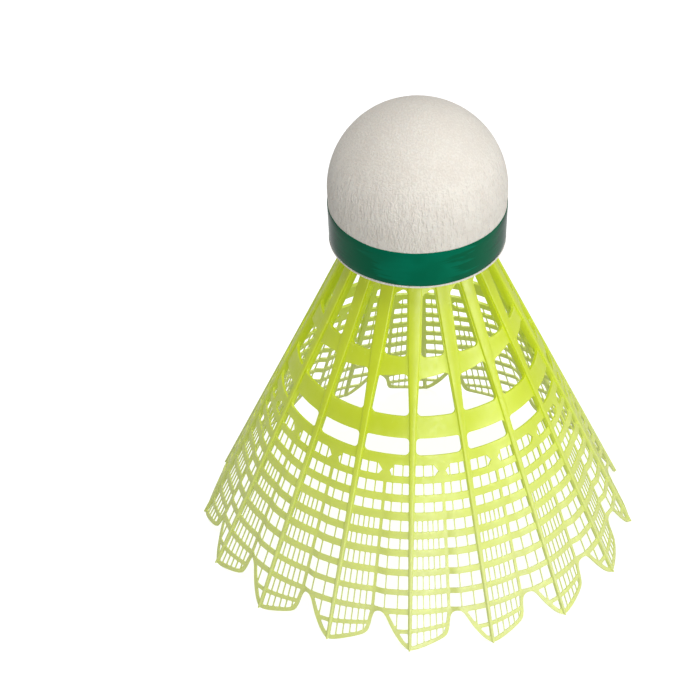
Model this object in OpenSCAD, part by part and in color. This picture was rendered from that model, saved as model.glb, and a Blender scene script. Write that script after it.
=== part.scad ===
// Badminton shuttlecock with a moulded nylon skirt, standing on its feather tips.
// The origin is the centre of the circle through the tips, and +Z is its axis.

/* [Skirt] */
// Radius of the circle through the feather tips
rim_r = 33; // [27.5:0.5:40]
// Height from the feather tips to the underside of the head
skirt_h = 53.2; // [44:0.1:64]
// How far the underside of the head reaches past the quills all round
ledge_w = 3.3; // [2.7:0.1:4.0]
// Number of quills, one to each feather
quill_count = 16; // [13:1:19]
// Thickness of the moulded panels between the quills
panel_t = 0.45; // [0.4:0.05:0.6]

/* [Quills] */
// Width of a quill at the head
quill_w_root = 2.2; // [1.8:0.1:2.7]
// Width of a quill at the top of the lattice
quill_w_lattice = 1; // [0.8:0.05:1.3]
// Width of a quill at the feather tip
quill_w_tip = 0.7; // [0.6:0.05:0.8]
// Depth of a quill at the head, measured level
quill_d_root = 1.6; // [1.4:0.1:1.9]
// Depth of a quill at the feather tip, measured level
quill_d_tip = 1.1; // [1:0.05:1.4]
// How far a quill stands out from the panels beside it
quill_rise = 0.3; // [0.2:0.05:0.35]

/* [Windows in the stem] */
// Height of the solid collar below the head, along the slope
collar_h = 1.8; // [1.2:0.1:2.5]
// Height of the ring between the first and second rows of windows
ring_1_h = 2.7; // [2.2:0.1:3.2]
// Height of the second row of windows
row_2_h = 6.4; // [5.3:0.1:7.7]
// Height of the ring between the second and third rows of windows
ring_2_h = 3.2; // [2.6:0.1:3.8]
// Height of the third row of windows
row_3_h = 2.8; // [2.3:0.1:3.3]
// Height of the ring above the lattice
ring_3_h = 1.8; // [1.4:0.1:2.2]
// How much lower a first-row window's top edge is at its left end, seen from outside
window_slant_1 = 1.4; // [0:0.1:1.7]
// The same for a window of the second row
window_slant_2 = 0.8; // [0:0.1:1]
// Radius of a window's corners
window_r = 0.5; // [0.2:0.05:0.7]
// Width of the web left along each side of a quill
web_w = 0.15; // [0.1:0.05:0.25]

/* [Lattice] */
// Number of rows of cells, counted down to the feather tips
lattice_rows = 10; // [10:1:10]
// Height of one row of cells with the ring below it
cell_pitch = 2.88; // [2.4:0.02:3.5]
// Height of the lattice rings at the top
lattice_ring_top = 1.1; // [0.9:0.05:1.3]
// Height of the lattice rings at the bottom
lattice_ring_bottom = 0.75; // [0.6:0.05:0.9]
// Extra height of the ring below the third row
thick_ring_extra = 0.25; // [0:0.05:0.4]
// Width of the vein down the middle of each panel
vein_w = 0.5; // [0.35:0.05:0.7]
// Half width of the tooth above each vein
tooth_w = 1.1; // [0.8:0.1:1.4]
// Height of the valleys between the feathers above the tips
valley_h = 6.6; // [6:0.1:7]
// Width of the border round each feather's end
border_w = 0.55; // [0.4:0.05:0.7]

/* [Plug] */
// Outer radius of the hollow plug that is glued into the cork
plug_r = 4; // [3.4:0.1:5]
// Radius of the plug's blind bore, open below
socket_r = 3; // [2.5:0.1:3.3]
// Length of the plug above the seat flange
plug_h = 7.6; // [6:0.1:9.2]
// Thickness of the plug's closed end
plug_end_t = 1.1; // [0.8:0.1:1.6]
// How far each barb stands out from the plug
barb_rise = 0.25; // [0.15:0.05:0.3]
// Number of barbs
barb_count = 3; // [2:1:4]
// Thickness of the seat flange
flange_t = 1.2; // [1:0.1:1.8]

/* [Head] */
// Radius of the dome
head_r = 13.5; // [11.2:0.05:16]
// Radius of the head at its underside
head_base_r = 13.1; // [10.6:0.1:15.3]
// Height from the head's underside to the centre of the dome
head_side_h = 9.2; // [7.7:0.1:11.2]
// Thickness of the cover
cover_t = 0.6; // [0.4:0.05:0.8]
// Thickness of the cover's hem, turned in under the cork
hem_t = 0.4; // [0.3:0.05:0.5]
// Gap between the hem and the quills inside it
hem_gap = 1; // [0.8:0.1:1.2]
// Gap all round the plug for the adhesive
glue_t = 0.4; // [0.35:0.05:0.6]
// Depth of the adhesive beyond the plug's end
glue_end_t = 0.4; // [0.3:0.05:0.6]
// Height of the tape band
band_h = 6.1; // [5:0.1:7.3]
// Thickness of the tape band
band_t = 0.12; // [0.1:0.02:0.2]

/* [Hidden] */
$fn = 96;
nylon = [0.76, 0.87, 0.2];
white_skin = [0.9, 0.87, 0.83];
tape_green = [0, 0.33, 0.23];
cork_tan = [0.76, 0.6, 0.42];
glue_amber = [0.86, 0.78, 0.55];

// Radius of the quills' outer faces at the underside of the head
root_r = head_base_r - ledge_w;
// The quills' outer edges all meet at one point on the axis.
apex_h = rim_r * skirt_h / (rim_r - root_r);
sector_a = 360 / quill_count;
half_a = sector_a / 2;
panel_foot_r = rim_r * cos(half_a);
panel_lean = atan(panel_foot_r / apex_h);
panel_len = norm([panel_foot_r, apex_h]);
quill_lean = atan(rim_r / apex_h);
rim_half = rim_r * sin(half_a);
// Inset that keeps neighbouring panels apart inside the quill that joins them
bury = 0.12;
// Height of the panels' inner faces above the quills' feet
foot_gap = 0.1;
// Lowest point of a panel's outline
panel_low = (quill_rise + panel_t) * tan(panel_lean) + foot_gap;
// Overlap of parts that are moulded in one piece
merge = 0.3;
// How far the panels reach up under the collar
panel_bite = 0.9;
// Reach of a trimming shape past the part it trims
past = 5;
// Number of straight steps round a window's corner
corner_steps = 3;
// Largest corner radius of a window, as a fraction of half its width
corner_limit = 0.8;
// Turning points along the ends of two neighbouring feathers, from the left tip to the
// right one: the left feather's broad side, the valley and the right one's narrow side.
// Each is given across from the middle, as a fraction of half the tips' spacing, and up,
// as a fraction of valley_h.
feather_ends = [
    [-0.71, 0.14], [-0.28, 0.35], [-0.15, 0.5], [-0.11, 0.85], [-0.05, 0.97],
    [0.09, 1], [0.27, 0.97], [0.43, 0.86], [0.56, 0.6], [0.68, 0.36]];
// The two of them that the border of the broad side runs between
border_low = 2;
border_top = 3;
// Length of the straight foot beside each quill, as the same kind of fraction
foot_w = 0.11;

// Heights along the slope, measured from the line through two tips
lattice_top = lattice_rows * cell_pitch;
row_3_low = lattice_top + ring_3_h;
row_3_top = row_3_low + row_3_h;
row_2_low = row_3_top + ring_2_h;
row_2_top = row_2_low + row_2_h;
row_1_low = row_2_top + ring_1_h;
root_s = panel_len * skirt_h / apex_h;
row_1_top = root_s - collar_h;
// The last row whose cells reach the full width of the panel
full_rows = 8;
thick_ring_row = 2;

seat_z = skirt_h + hem_t;
dome_z = skirt_h + head_side_h;
glue_r = plug_r + glue_t;
bore_top = seat_z + plug_h + glue_end_t;
hem_r = root_r + hem_gap;
barb_pitch = plug_h / (barb_count + 1);

// Radius of the quills' outer edges at height z.
function cone_r(z) = rim_r * (1 - z / apex_h);
// Half the width between two quills' centre lines, s up the slope.
function half_chord(s) = rim_half * (1 - s / panel_len);
// Width of a quill, s up the slope.
function quill_w(s) = s < lattice_top
    ? quill_w_tip + (quill_w_lattice - quill_w_tip) * s / lattice_top
    : quill_w_lattice + (quill_w_root - quill_w_lattice) * (s - lattice_top) / (root_s - lattice_top);
// Half the clear width between two quills, s up the slope.
function half_clear(s) = half_chord(s) - quill_w(s) / 2 - web_w;
// Radius of the head's outside at height z on its side.
function side_r(z) = head_base_r + (head_r - head_base_r) * (z - skirt_h) / head_side_h;
// Height of the lattice ring below row i.
function lattice_ring(i) = lattice_ring_top
    + (lattice_ring_bottom - lattice_ring_top) * i / (lattice_rows - 1)
    + (i == thick_ring_row ? thick_ring_extra : 0);
function row_top(i) = lattice_top - i * cell_pitch;
function row_low(i) = row_top(i + 1) + lattice_ring(i);

// The head's outside pulled in by t, above height z, as a half section.
module head_section(t, z) {
    intersection() {
        union() {
            translate([0, dome_z]) circle(head_r - t);
            polygon([[0, z], [side_r(z) - t, z], [head_r - t, dome_z], [0, dome_z]]);
        }
        translate([0, z]) square([head_r, dome_z + head_r - z]);
    }
}

// The bore in the cork that takes the plug and its adhesive, as a half section.
module bore_section() {
    translate([0, skirt_h]) square([glue_r, bore_top - skirt_h]);
}

module cork_nose() {
    color(cork_tan) rotate_extrude() difference() {
        intersection() {
            translate([0, dome_z]) circle(head_r - cover_t);
            translate([0, dome_z]) square(head_r);
        }
        bore_section();
    }
}

module cork_base() {
    color(cork_tan) rotate_extrude() difference() {
        polygon([
            [0, seat_z], [side_r(seat_z) - cover_t, seat_z],
            [head_r - cover_t, dome_z], [0, dome_z]]);
        bore_section();
    }
}

module head_cover() {
    color(white_skin) rotate_extrude() {
        difference() {
            head_section(0, skirt_h);
            head_section(cover_t, skirt_h - merge);
        }
        polygon([
            [hem_r, skirt_h], [head_base_r - cover_t / 2, skirt_h],
            [head_base_r - cover_t / 2, seat_z], [hem_r, seat_z]]);
    }
}

module head_band() {
    color(tape_green) rotate_extrude() polygon([
        [side_r(seat_z), seat_z], [side_r(seat_z) + band_t, seat_z],
        [side_r(seat_z + band_h) + band_t, seat_z + band_h], [side_r(seat_z + band_h), seat_z + band_h]]);
}

// The plug's outside, from its tip down its barbs to the seat.
function plug_points() = concat(
    [[0, seat_z + plug_h], [plug_r - barb_rise, seat_z + plug_h]],
    [for (i = [barb_count:-1:1]) each [
        [plug_r, seat_z + i * barb_pitch + barb_rise],
        [plug_r + barb_rise, seat_z + i * barb_pitch],
        [plug_r, seat_z + i * barb_pitch]]],
    [[plug_r, seat_z]]);

module glue_bond() {
    color(glue_amber) rotate_extrude() polygon(concat(
        plug_points(), [[glue_r, seat_z], [glue_r, bore_top], [0, bore_top]]));
}

// The plug, its seat flange and the collar, turned in one piece.
module root() {
    rise_level = quill_rise / cos(quill_lean);
    collar_low = skirt_h - collar_h * cos(quill_lean);
    collar_t = quill_d_root - rise_level - merge;
    rotate_extrude() difference() {
        polygon(concat(plug_points(), [
            [cone_r(seat_z) - rise_level, seat_z],
            [cone_r(collar_low) - rise_level, collar_low],
            [cone_r(collar_low) - rise_level - collar_t, collar_low],
            [cone_r(seat_z - flange_t) - rise_level - collar_t, seat_z - flange_t],
            [0, seat_z - flange_t]]));
        translate([0, seat_z - flange_t - merge])
            square([socket_r, flange_t + merge + plug_h - plug_end_t]);
    }
}

// One quill, between its level foot and the underside of the head.
module quill() {
    intersection() {
        rotate([90, 0, 0]) linear_extrude(2 * quill_w_root, center = true) polygon([
            [rim_r - quill_d_tip, 0], [rim_r, 0],
            [root_r, skirt_h], [root_r - quill_d_root, skirt_h]]);
        translate([rim_r, 0, 0]) rotate([0, -quill_lean, 0]) rotate([90, 0, 90])
            linear_extrude(3 * quill_d_root, center = true) polygon([
                [-quill_w_tip / 2, -past], [quill_w_tip / 2, -past],
                [quill_w_lattice / 2, lattice_top], [quill_w_root / 2, root_s + past],
                [-quill_w_root / 2, root_s + past], [-quill_w_lattice / 2, lattice_top]]);
    }
}

// A point at fraction f of the clear width between two quills, s up the slope.
function at(f, s) = [(2 * f - 1) * half_clear(s), s];

// The corner at p rounded with radius r, between the points a before it and b after it.
function corner(a, p, b, r) = let (
    u = (a - p) / norm(a - p), v = (b - p) / norm(b - p),
    half = acos(u * v) / 2, reach = r / tan(half),
    c = p + (u + v) / norm(u + v) * r / sin(half),
    from = p + u * reach - c, to = p + v * reach - c)
    [for (k = [0:corner_steps]) let (m = from + (to - from) * k / corner_steps)
        c + m / norm(m) * r];

function rounded(p, r) = [for (i = [0:len(p) - 1])
    each corner(p[(i + len(p) - 1) % len(p)], p[i], p[(i + 1) % len(p)], r)];

// A stem window from low to top, with its top edge falling by slant to the left.
// Its corners are no rounder than the window's narrow end allows.
module stem_window(low, top, slant) {
    r = min(window_r, corner_limit * half_clear(top));
    polygon(rounded([at(0, low), at(1, low), at(1, top), at(0, top - slant)], r));
}

// The two cells of lattice row i, on either side of the vein.
module cells(i) {
    low = row_low(i);
    top = row_top(i);
    edge = i == 0 ? tooth_w : vein_w / 2;
    polygon([at(0, low), [-vein_w / 2, low], [-edge, top], at(0, top)]);
    polygon([[vein_w / 2, low], at(1, low), at(1, top), [edge, top]]);
}

// The cell in the feather's broad side, below the full rows.
module end_cell() {
    low = row_low(full_rows);
    top = row_top(full_rows);
    polygon([at(0, low), [feather_ends[border_low].x * rim_half - border_w, low],
        [feather_ends[border_top].x * rim_half - border_w, top], at(0, top)]);
}

// The panel's outline, with the feathers' ends along its foot.
module panel_outline() {
    top_s = row_1_top + panel_bite;
    side = bury / cos(asin(rim_half / panel_len));
    polygon(concat(
        [[side - rim_half, panel_low], [(foot_w - 1) * rim_half, panel_low]],
        [for (p = feather_ends) [p.x * rim_half, p.y * valley_h]],
        [[(1 - foot_w) * rim_half, panel_low], [rim_half - side, panel_low],
        [half_chord(top_s) - side, top_s], [side - half_chord(top_s), top_s]]));
}

// One flat panel between two quills, centred on the +X side.
module panel() {
    translate([panel_foot_r, 0, 0]) rotate([0, -panel_lean, 0]) rotate([90, 0, 90])
        translate([0, 0, -quill_rise - panel_t]) linear_extrude(panel_t) difference() {
            panel_outline();
            stem_window(row_1_low, row_1_top, window_slant_1);
            stem_window(row_2_low, row_2_top, window_slant_2);
            stem_window(row_3_low, row_3_top, 0);
            for (i = [0:full_rows - 1]) cells(i);
            end_cell();
        }
}

module skirt() {
    color(nylon) {
        root();
        for (k = [0:quill_count - 1]) {
            rotate([0, 0, k * sector_a]) quill();
            rotate([0, 0, k * sector_a + half_a]) panel();
        }
    }
}

cork_nose();
cork_base();
head_cover();
head_band();
glue_bond();
skirt();
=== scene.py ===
"""Looks of a nylon badminton shuttlecock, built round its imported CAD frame.

The shuttlecock stands on its feather tips. The origin is the centre of the circle
through the tips, +Z is the axis, and one quill lies exactly on the -Y side. Sizes in the
classes are in millimetres, and meshes are in metres.
"""

import logging
import math
from dataclasses import dataclass, field
from enum import Enum
from functools import cache
from typing import Callable, Iterable

import bmesh
import bpy
import numpy as np
from mathutils import Matrix, Vector
from mathutils.geometry import delaunay_2d_cdt


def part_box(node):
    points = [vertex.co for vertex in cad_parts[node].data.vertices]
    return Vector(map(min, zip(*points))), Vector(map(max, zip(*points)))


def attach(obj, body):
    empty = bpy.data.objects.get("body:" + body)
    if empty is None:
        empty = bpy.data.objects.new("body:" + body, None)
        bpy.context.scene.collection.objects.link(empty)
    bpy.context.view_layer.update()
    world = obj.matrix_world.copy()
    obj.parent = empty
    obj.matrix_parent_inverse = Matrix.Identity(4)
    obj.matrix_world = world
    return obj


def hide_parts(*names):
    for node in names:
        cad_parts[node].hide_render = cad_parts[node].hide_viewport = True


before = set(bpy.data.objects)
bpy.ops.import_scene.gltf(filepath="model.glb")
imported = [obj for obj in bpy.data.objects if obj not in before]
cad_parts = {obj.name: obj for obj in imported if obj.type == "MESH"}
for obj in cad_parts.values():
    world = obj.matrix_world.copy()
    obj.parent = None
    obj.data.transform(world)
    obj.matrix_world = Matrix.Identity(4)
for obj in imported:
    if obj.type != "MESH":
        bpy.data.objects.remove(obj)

LOG = logging.getLogger("shuttlecock")
MM = 0.001
TURN = 2.0 * math.pi
TINY = 1e-6
BODY = "root"

Point = tuple[float, float]
Colour = tuple[float, float, float]
Input = float | tuple | bpy.types.NodeSocket


class Node(Enum):
    """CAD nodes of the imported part."""

    SKIRT = "skirt"
    COVER = "head_cover"
    BAND = "head_band"
    NOSE = "cork_nose"
    BASE = "cork_base"
    GLUE = "glue_bond"


class Slot(Enum):
    """Material slot names, which nothing in this script uses."""

    SKIN = "cover_skin"
    TAPE = "band_tape"
    NYLON = "skirt_nylon"


class Socket(Enum):
    """Kinds of socket on a shader node group."""

    VALUE = "NodeSocketFloat"
    VECTOR = "NodeSocketVector"


class Op(Enum):
    """Operations of a Math node."""

    ADD = "ADD"
    MULTIPLY = "MULTIPLY"
    MAXIMUM = "MAXIMUM"


@cache
def node_box(node: Node) -> tuple[np.ndarray, np.ndarray]:
    """Give a CAD node's lowest and highest corners.

    Args:
        node: The CAD node.

    Returns:
        The two corners, in millimetres.
    """
    low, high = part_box(node.value)
    return np.array(low) / MM, np.array(high) / MM


def linear(red: int, green: int, blue: int) -> Colour:
    """Turn a display colour into scene-linear values.

    Args:
        red: Red, 0 to 255.
        green: Green, 0 to 255.
        blue: Blue, 0 to 255.

    Returns:
        The linear colour.
    """
    toe, slope, offset, gamma = 0.04045, 12.92, 0.055, 2.4
    shares = (red / 255.0, green / 255.0, blue / 255.0)
    return tuple(
        c / slope if c <= toe else ((c + offset) / (1.0 + offset)) ** gamma for c in shares
    )


def smooth_step(value: float) -> float:
    """Ease a value from 0 to 1 between 0 and 1."""
    value = min(1.0, max(0.0, value))
    return value * value * (3.0 - 2.0 * value)


# ---------------------------------------------------------------------------------------
# Shader graphs
# ---------------------------------------------------------------------------------------


class Graph:
    """Adds nodes to one node tree and links them."""

    def __init__(self, tree: bpy.types.NodeTree) -> None:
        """Keep the tree."""
        self.tree = tree

    def add(
        self, kind: str, inputs: dict | None = None, settings: dict | None = None
    ) -> bpy.types.Node:
        """Add one node.

        Args:
            kind: The node's type name.
            inputs: Values or sockets for its inputs, by name or index.
            settings: Properties of the node.

        Returns:
            The node.
        """
        node = self.tree.nodes.new(kind)
        for name, value in (settings or {}).items():
            setattr(node, name, value)
        self.feed(node, inputs or {})
        return node

    def feed(self, node: bpy.types.Node, inputs: dict) -> None:
        """Link or set a node's inputs.

        Args:
            node: The node.
            inputs: Values or sockets for its inputs, by name or index.
        """
        for name, value in inputs.items():
            if isinstance(value, bpy.types.NodeSocket):
                self.tree.links.new(value, node.inputs[name])
            else:
                node.inputs[name].default_value = value

    def math(self, operation: Op, first: Input, second: Input = 0.0) -> bpy.types.NodeSocket:
        """Add a Math node.

        Args:
            operation: What it does.
            first: Its first value.
            second: Its second value.

        Returns:
            The result.
        """
        inputs = {0: first, 1: second}
        return self.add("ShaderNodeMath", inputs, {"operation": operation.value}).outputs[0]

    def mix(self, factor: Input, first: Input, second: Input) -> bpy.types.NodeSocket:
        """Mix two colours.

        Args:
            factor: Share of the second colour.
            first: First colour.
            second: Second colour.

        Returns:
            The mixed colour.
        """
        factor_in, first_in, second_in, colour_out = 0, 6, 7, 2
        inputs = {factor_in: factor, first_in: self.rgba(first), second_in: self.rgba(second)}
        settings = {"data_type": "RGBA", "blend_type": "MIX"}
        return self.add("ShaderNodeMix", inputs, settings).outputs[colour_out]

    @staticmethod
    def rgba(colour: Input) -> Input:
        """Give a plain colour its alpha, and pass a socket on."""
        return (*colour, 1.0) if isinstance(colour, tuple) and len(colour) == 3 else colour

    def noise(
        self,
        vector: Input,
        scale: Input,
        detail: float = 2.0,
        roughness: float = 0.5,
        distortion: float = 0.0,
    ) -> bpy.types.NodeSocket:
        """Add a noise texture.

        Args:
            vector: Where it is read.
            scale: Cells per unit.
            detail: Octaves.
            roughness: Strength of each octave beside the last.
            distortion: How far it is warped.

        Returns:
            Its value, around one half.
        """
        inputs = {
            "Vector": vector,
            "Scale": scale,
            "Detail": detail,
            "Roughness": roughness,
            "Distortion": distortion,
        }
        return self.add("ShaderNodeTexNoise", inputs).outputs[0]

    def span(
        self, value: Input, low: float, high: float, start: float = 0.0, end: float = 1.0
    ) -> bpy.types.NodeSocket:
        """Map a range of values onto another, clamped and eased.

        Args:
            value: The value.
            low: Where the range starts.
            high: Where it ends.
            start: Result at low.
            end: Result at high.

        Returns:
            The mapped value.
        """
        inputs = {
            "Value": value,
            "From Min": low,
            "From Max": high,
            "To Min": start,
            "To Max": end,
        }
        settings = {"interpolation_type": "SMOOTHSTEP", "clamp": True}
        return self.add("ShaderNodeMapRange", inputs, settings).outputs[0]

    def bump(
        self, height: Input, strength: float, reach_mm: float, normal: Input | None = None
    ) -> bpy.types.NodeSocket:
        """Add a Bump node.

        Args:
            height: Height from 0 to 1.
            strength: How much of the effect shows.
            reach_mm: Real height of one unit.
            normal: Normal that it starts from.

        Returns:
            The bent normal.
        """
        inputs = {"Height": height, "Strength": strength, "Distance": reach_mm * MM}
        if normal is not None:
            inputs["Normal"] = normal
        return self.add("ShaderNodeBump", inputs).outputs[0]

    def place(self) -> bpy.types.NodeSocket:
        """Give the surface point in the shared frame."""
        return self.add("ShaderNodeTexCoord").outputs["Object"]


class Effect:
    """A shader node group that several materials share."""

    made: dict[str, bpy.types.NodeTree] = {}

    def __init__(
        self,
        name: str,
        inputs: dict[str, tuple[Socket, float]],
        outputs: dict[str, Socket],
        build: Callable[[Graph, dict], dict],
    ) -> None:
        """Describe the group.

        Args:
            name: The group's name.
            inputs: Its inputs, each with a kind and a first value.
            outputs: Its outputs, each with a kind.
            build: Fills the group, from its inputs to its outputs.
        """
        self.name = name
        self.inputs = inputs
        self.outputs = outputs
        self.build = build

    def tree(self) -> bpy.types.NodeTree:
        """Make the group the first time it is asked for.

        Returns:
            The group's tree.
        """
        if self.name in self.made:
            return self.made[self.name]
        tree = bpy.data.node_groups.new(self.name, "ShaderNodeTree")
        for name, (kind, value) in self.inputs.items():
            socket = tree.interface.new_socket(name, in_out="INPUT", socket_type=kind.value)
            if kind is Socket.VALUE:
                socket.default_value = value
        for name, kind in self.outputs.items():
            tree.interface.new_socket(name, in_out="OUTPUT", socket_type=kind.value)
        graph = Graph(tree)
        entry = graph.add("NodeGroupInput")
        results = self.build(graph, {name: entry.outputs[name] for name in self.inputs})
        graph.add("NodeGroupOutput", results)
        self.made[self.name] = tree
        return tree

    def use(self, graph: Graph, inputs: dict[str, Input]) -> dict[str, bpy.types.NodeSocket]:
        """Place the group in a material.

        Args:
            graph: The material's graph.
            inputs: Values or sockets for its inputs.

        Returns:
            Its outputs by name.
        """
        node = graph.add("ShaderNodeGroup", inputs, {"node_tree": self.tree()})
        return {name: node.outputs[name] for name in self.outputs}


def build_round_axis(graph: Graph, given: dict) -> dict:
    """Fill the group that wraps a point round the axis without a seam.

    Args:
        graph: The group's graph.
        given: Its inputs.

    Returns:
        Its outputs.
    """
    parts = graph.add("ShaderNodeSeparateXYZ", {0: given["Place"]}).outputs
    level = graph.add("ShaderNodeCombineXYZ", {0: parts["X"], 1: parts["Y"]}).outputs[0]
    heading = graph.add(
        "ShaderNodeVectorMath", {0: level}, {"operation": "NORMALIZE"}
    ).outputs[0]
    around = graph.add(
        "ShaderNodeVectorMath",
        {0: heading, "Scale": given["Radius"]},
        {"operation": "SCALE"},
    ).outputs[0]
    flat = graph.add("ShaderNodeSeparateXYZ", {0: around}).outputs
    height = graph.math(Op.MULTIPLY, parts["Z"], given["Height scale"])
    wrapped = graph.add(
        "ShaderNodeCombineXYZ", {0: flat["X"], 1: flat["Y"], 2: height}
    ).outputs[0]
    return {"Wrapped": wrapped, "Height": parts["Z"]}


def build_grain(graph: Graph, given: dict) -> dict:
    """Fill the group of fine surface grain.

    Args:
        graph: The group's graph.
        given: Its inputs.

    Returns:
        Its outputs.
    """
    cloud_share = 0.09
    fine = graph.noise(given["Place"], given["Scale"], detail=4.0, roughness=0.6)
    broad_scale = graph.math(Op.MULTIPLY, given["Scale"], cloud_share)
    broad = graph.noise(given["Place"], broad_scale, detail=2.0)
    return {
        "Height": fine,
        "Mask": graph.span(fine, 0.35, 0.65),
        "Cloud": graph.span(broad, 0.32, 0.68),
    }


def build_wear(graph: Graph, given: dict) -> dict:
    """Fill the group of handling wear, on edges and in patches.

    Args:
        graph: The group's graph.
        given: Its inputs.

    Returns:
        Its outputs.
    """
    patches, specks, least_rub = 160.0, 900.0, 0.25
    point = graph.add("ShaderNodeNewGeometry").outputs["Pointiness"]
    edge = graph.span(point, 0.51, 0.6)
    patch = graph.span(graph.noise(given["Place"], patches, detail=5.0), 0.45, 0.7)
    rub = graph.math(Op.MULTIPLY, edge, graph.math(Op.ADD, patch, least_rub))
    speck = graph.span(graph.noise(given["Place"], specks, detail=3.0), 0.66, 0.74)
    worn = graph.math(Op.MULTIPLY, graph.math(Op.MAXIMUM, rub, speck), given["Amount"])
    return {"Mask": worn}


ROUND_AXIS = Effect(
    "Round the axis",
    {
        "Place": (Socket.VECTOR, 0.0),
        "Radius": (Socket.VALUE, 0.013),
        "Height scale": (Socket.VALUE, 1.0),
    },
    {"Wrapped": Socket.VECTOR, "Height": Socket.VALUE},
    build_round_axis,
)
GRAIN = Effect(
    "Fine grain",
    {"Place": (Socket.VECTOR, 0.0), "Scale": (Socket.VALUE, 1500.0)},
    {"Height": Socket.VALUE, "Mask": Socket.VALUE, "Cloud": Socket.VALUE},
    build_grain,
)
WEAR = Effect(
    "Handling wear",
    {"Place": (Socket.VECTOR, 0.0), "Amount": (Socket.VALUE, 0.3)},
    {"Mask": Socket.VALUE},
    build_wear,
)


def fresh_material(name: str) -> tuple[bpy.types.Material, Graph, bpy.types.Node]:
    """Start a material with one Principled shader.

    Args:
        name: The material's name.

    Returns:
        The material, its graph and the shader.
    """
    material = bpy.data.materials.new(name)
    material.use_nodes = True
    material.node_tree.nodes.clear()
    graph = Graph(material.node_tree)
    shader = graph.add("ShaderNodeBsdfPrincipled")
    graph.add("ShaderNodeOutputMaterial", {"Surface": shader.outputs[0]})
    return material, graph, shader


@dataclass(frozen=True)
class NylonFinish:
    """Moulded translucent nylon, yellower where it is thick and paler towards the tips, with a
    painted glow lifting its shade.

    Scales count cells to the metre, and heights are in metres up from the tips.
    """

    lit: Colour = linear(202, 217, 22)
    deep: Colour = linear(194, 209, 8)
    thin: Colour = linear(214, 220, 152)
    worn: Colour = linear(226, 238, 120)
    # Painted glow: emission colours and strength that brighten the nylon, most of all on its shaded
    # side
    shine: Colour = (0.52, 0.66, 0.0)
    thin_painted_glow: Colour = (0.3, 0.35, 0.14)
    painted_glow_strength: float = 0.155
    roughness: float = 0.36
    specular: float = 0.95
    glow: float = 0.2
    glow_colour: Colour = (1.0, 1.2, 0.15)
    glow_reach: float = 0.0008
    index: float = 1.53
    grain: float = 1400.0
    wear: float = 0.35
    flow: float = 420.0
    thick_above: float = 0.034
    thin_below: float = 0.004
    thinning: float = 0.75

    def material(self) -> bpy.types.Material:
        """Build the material.

        Returns:
            The material.
        """
        material, graph, shader = fresh_material("Moulded nylon")
        place = graph.place()
        grain = GRAIN.use(graph, {"Place": place, "Scale": self.grain})
        wear = WEAR.use(graph, {"Place": place, "Amount": self.wear})
        around = ROUND_AXIS.use(
            graph, {"Place": place, "Radius": 0.02, "Height scale": 0.12}
        )
        flow = graph.noise(around["Wrapped"], self.flow, detail=3.0, distortion=0.6)
        tone = graph.mix(grain["Cloud"], self.lit, self.deep)
        tone = graph.mix(graph.span(flow, 0.3, 0.7, 0.0, 0.3), tone, self.deep)
        thinned = graph.span(
            around["Height"], self.thick_above, self.thin_below, 0.0, self.thinning
        )
        tone = graph.mix(thinned, tone, self.thin)
        tone = graph.mix(wear["Mask"], tone, self.worn)
        # Painted glow colour, weaker towards the tips
        shine = graph.mix(thinned, self.shine, self.thin_painted_glow)
        rough = graph.span(grain["Mask"], 0.0, 1.0, self.roughness - 0.05, self.roughness + 0.08)
        normal = graph.bump(grain["Height"], 0.25, 0.02)
        normal = graph.bump(flow, 0.2, 0.05, normal)
        graph.feed(
            shader,
            {
                "Base Color": tone,
                "Roughness": rough,
                "Normal": normal,
                "IOR": self.index,
                "Specular IOR Level": self.specular,
                # This emission is a painted glow
                "Emission Color": shine,
                "Emission Strength": self.painted_glow_strength,
                "Subsurface Weight": self.glow,
                "Subsurface Radius": self.glow_colour,
                "Subsurface Scale": self.glow_reach,
            },
        )
        return material


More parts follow.
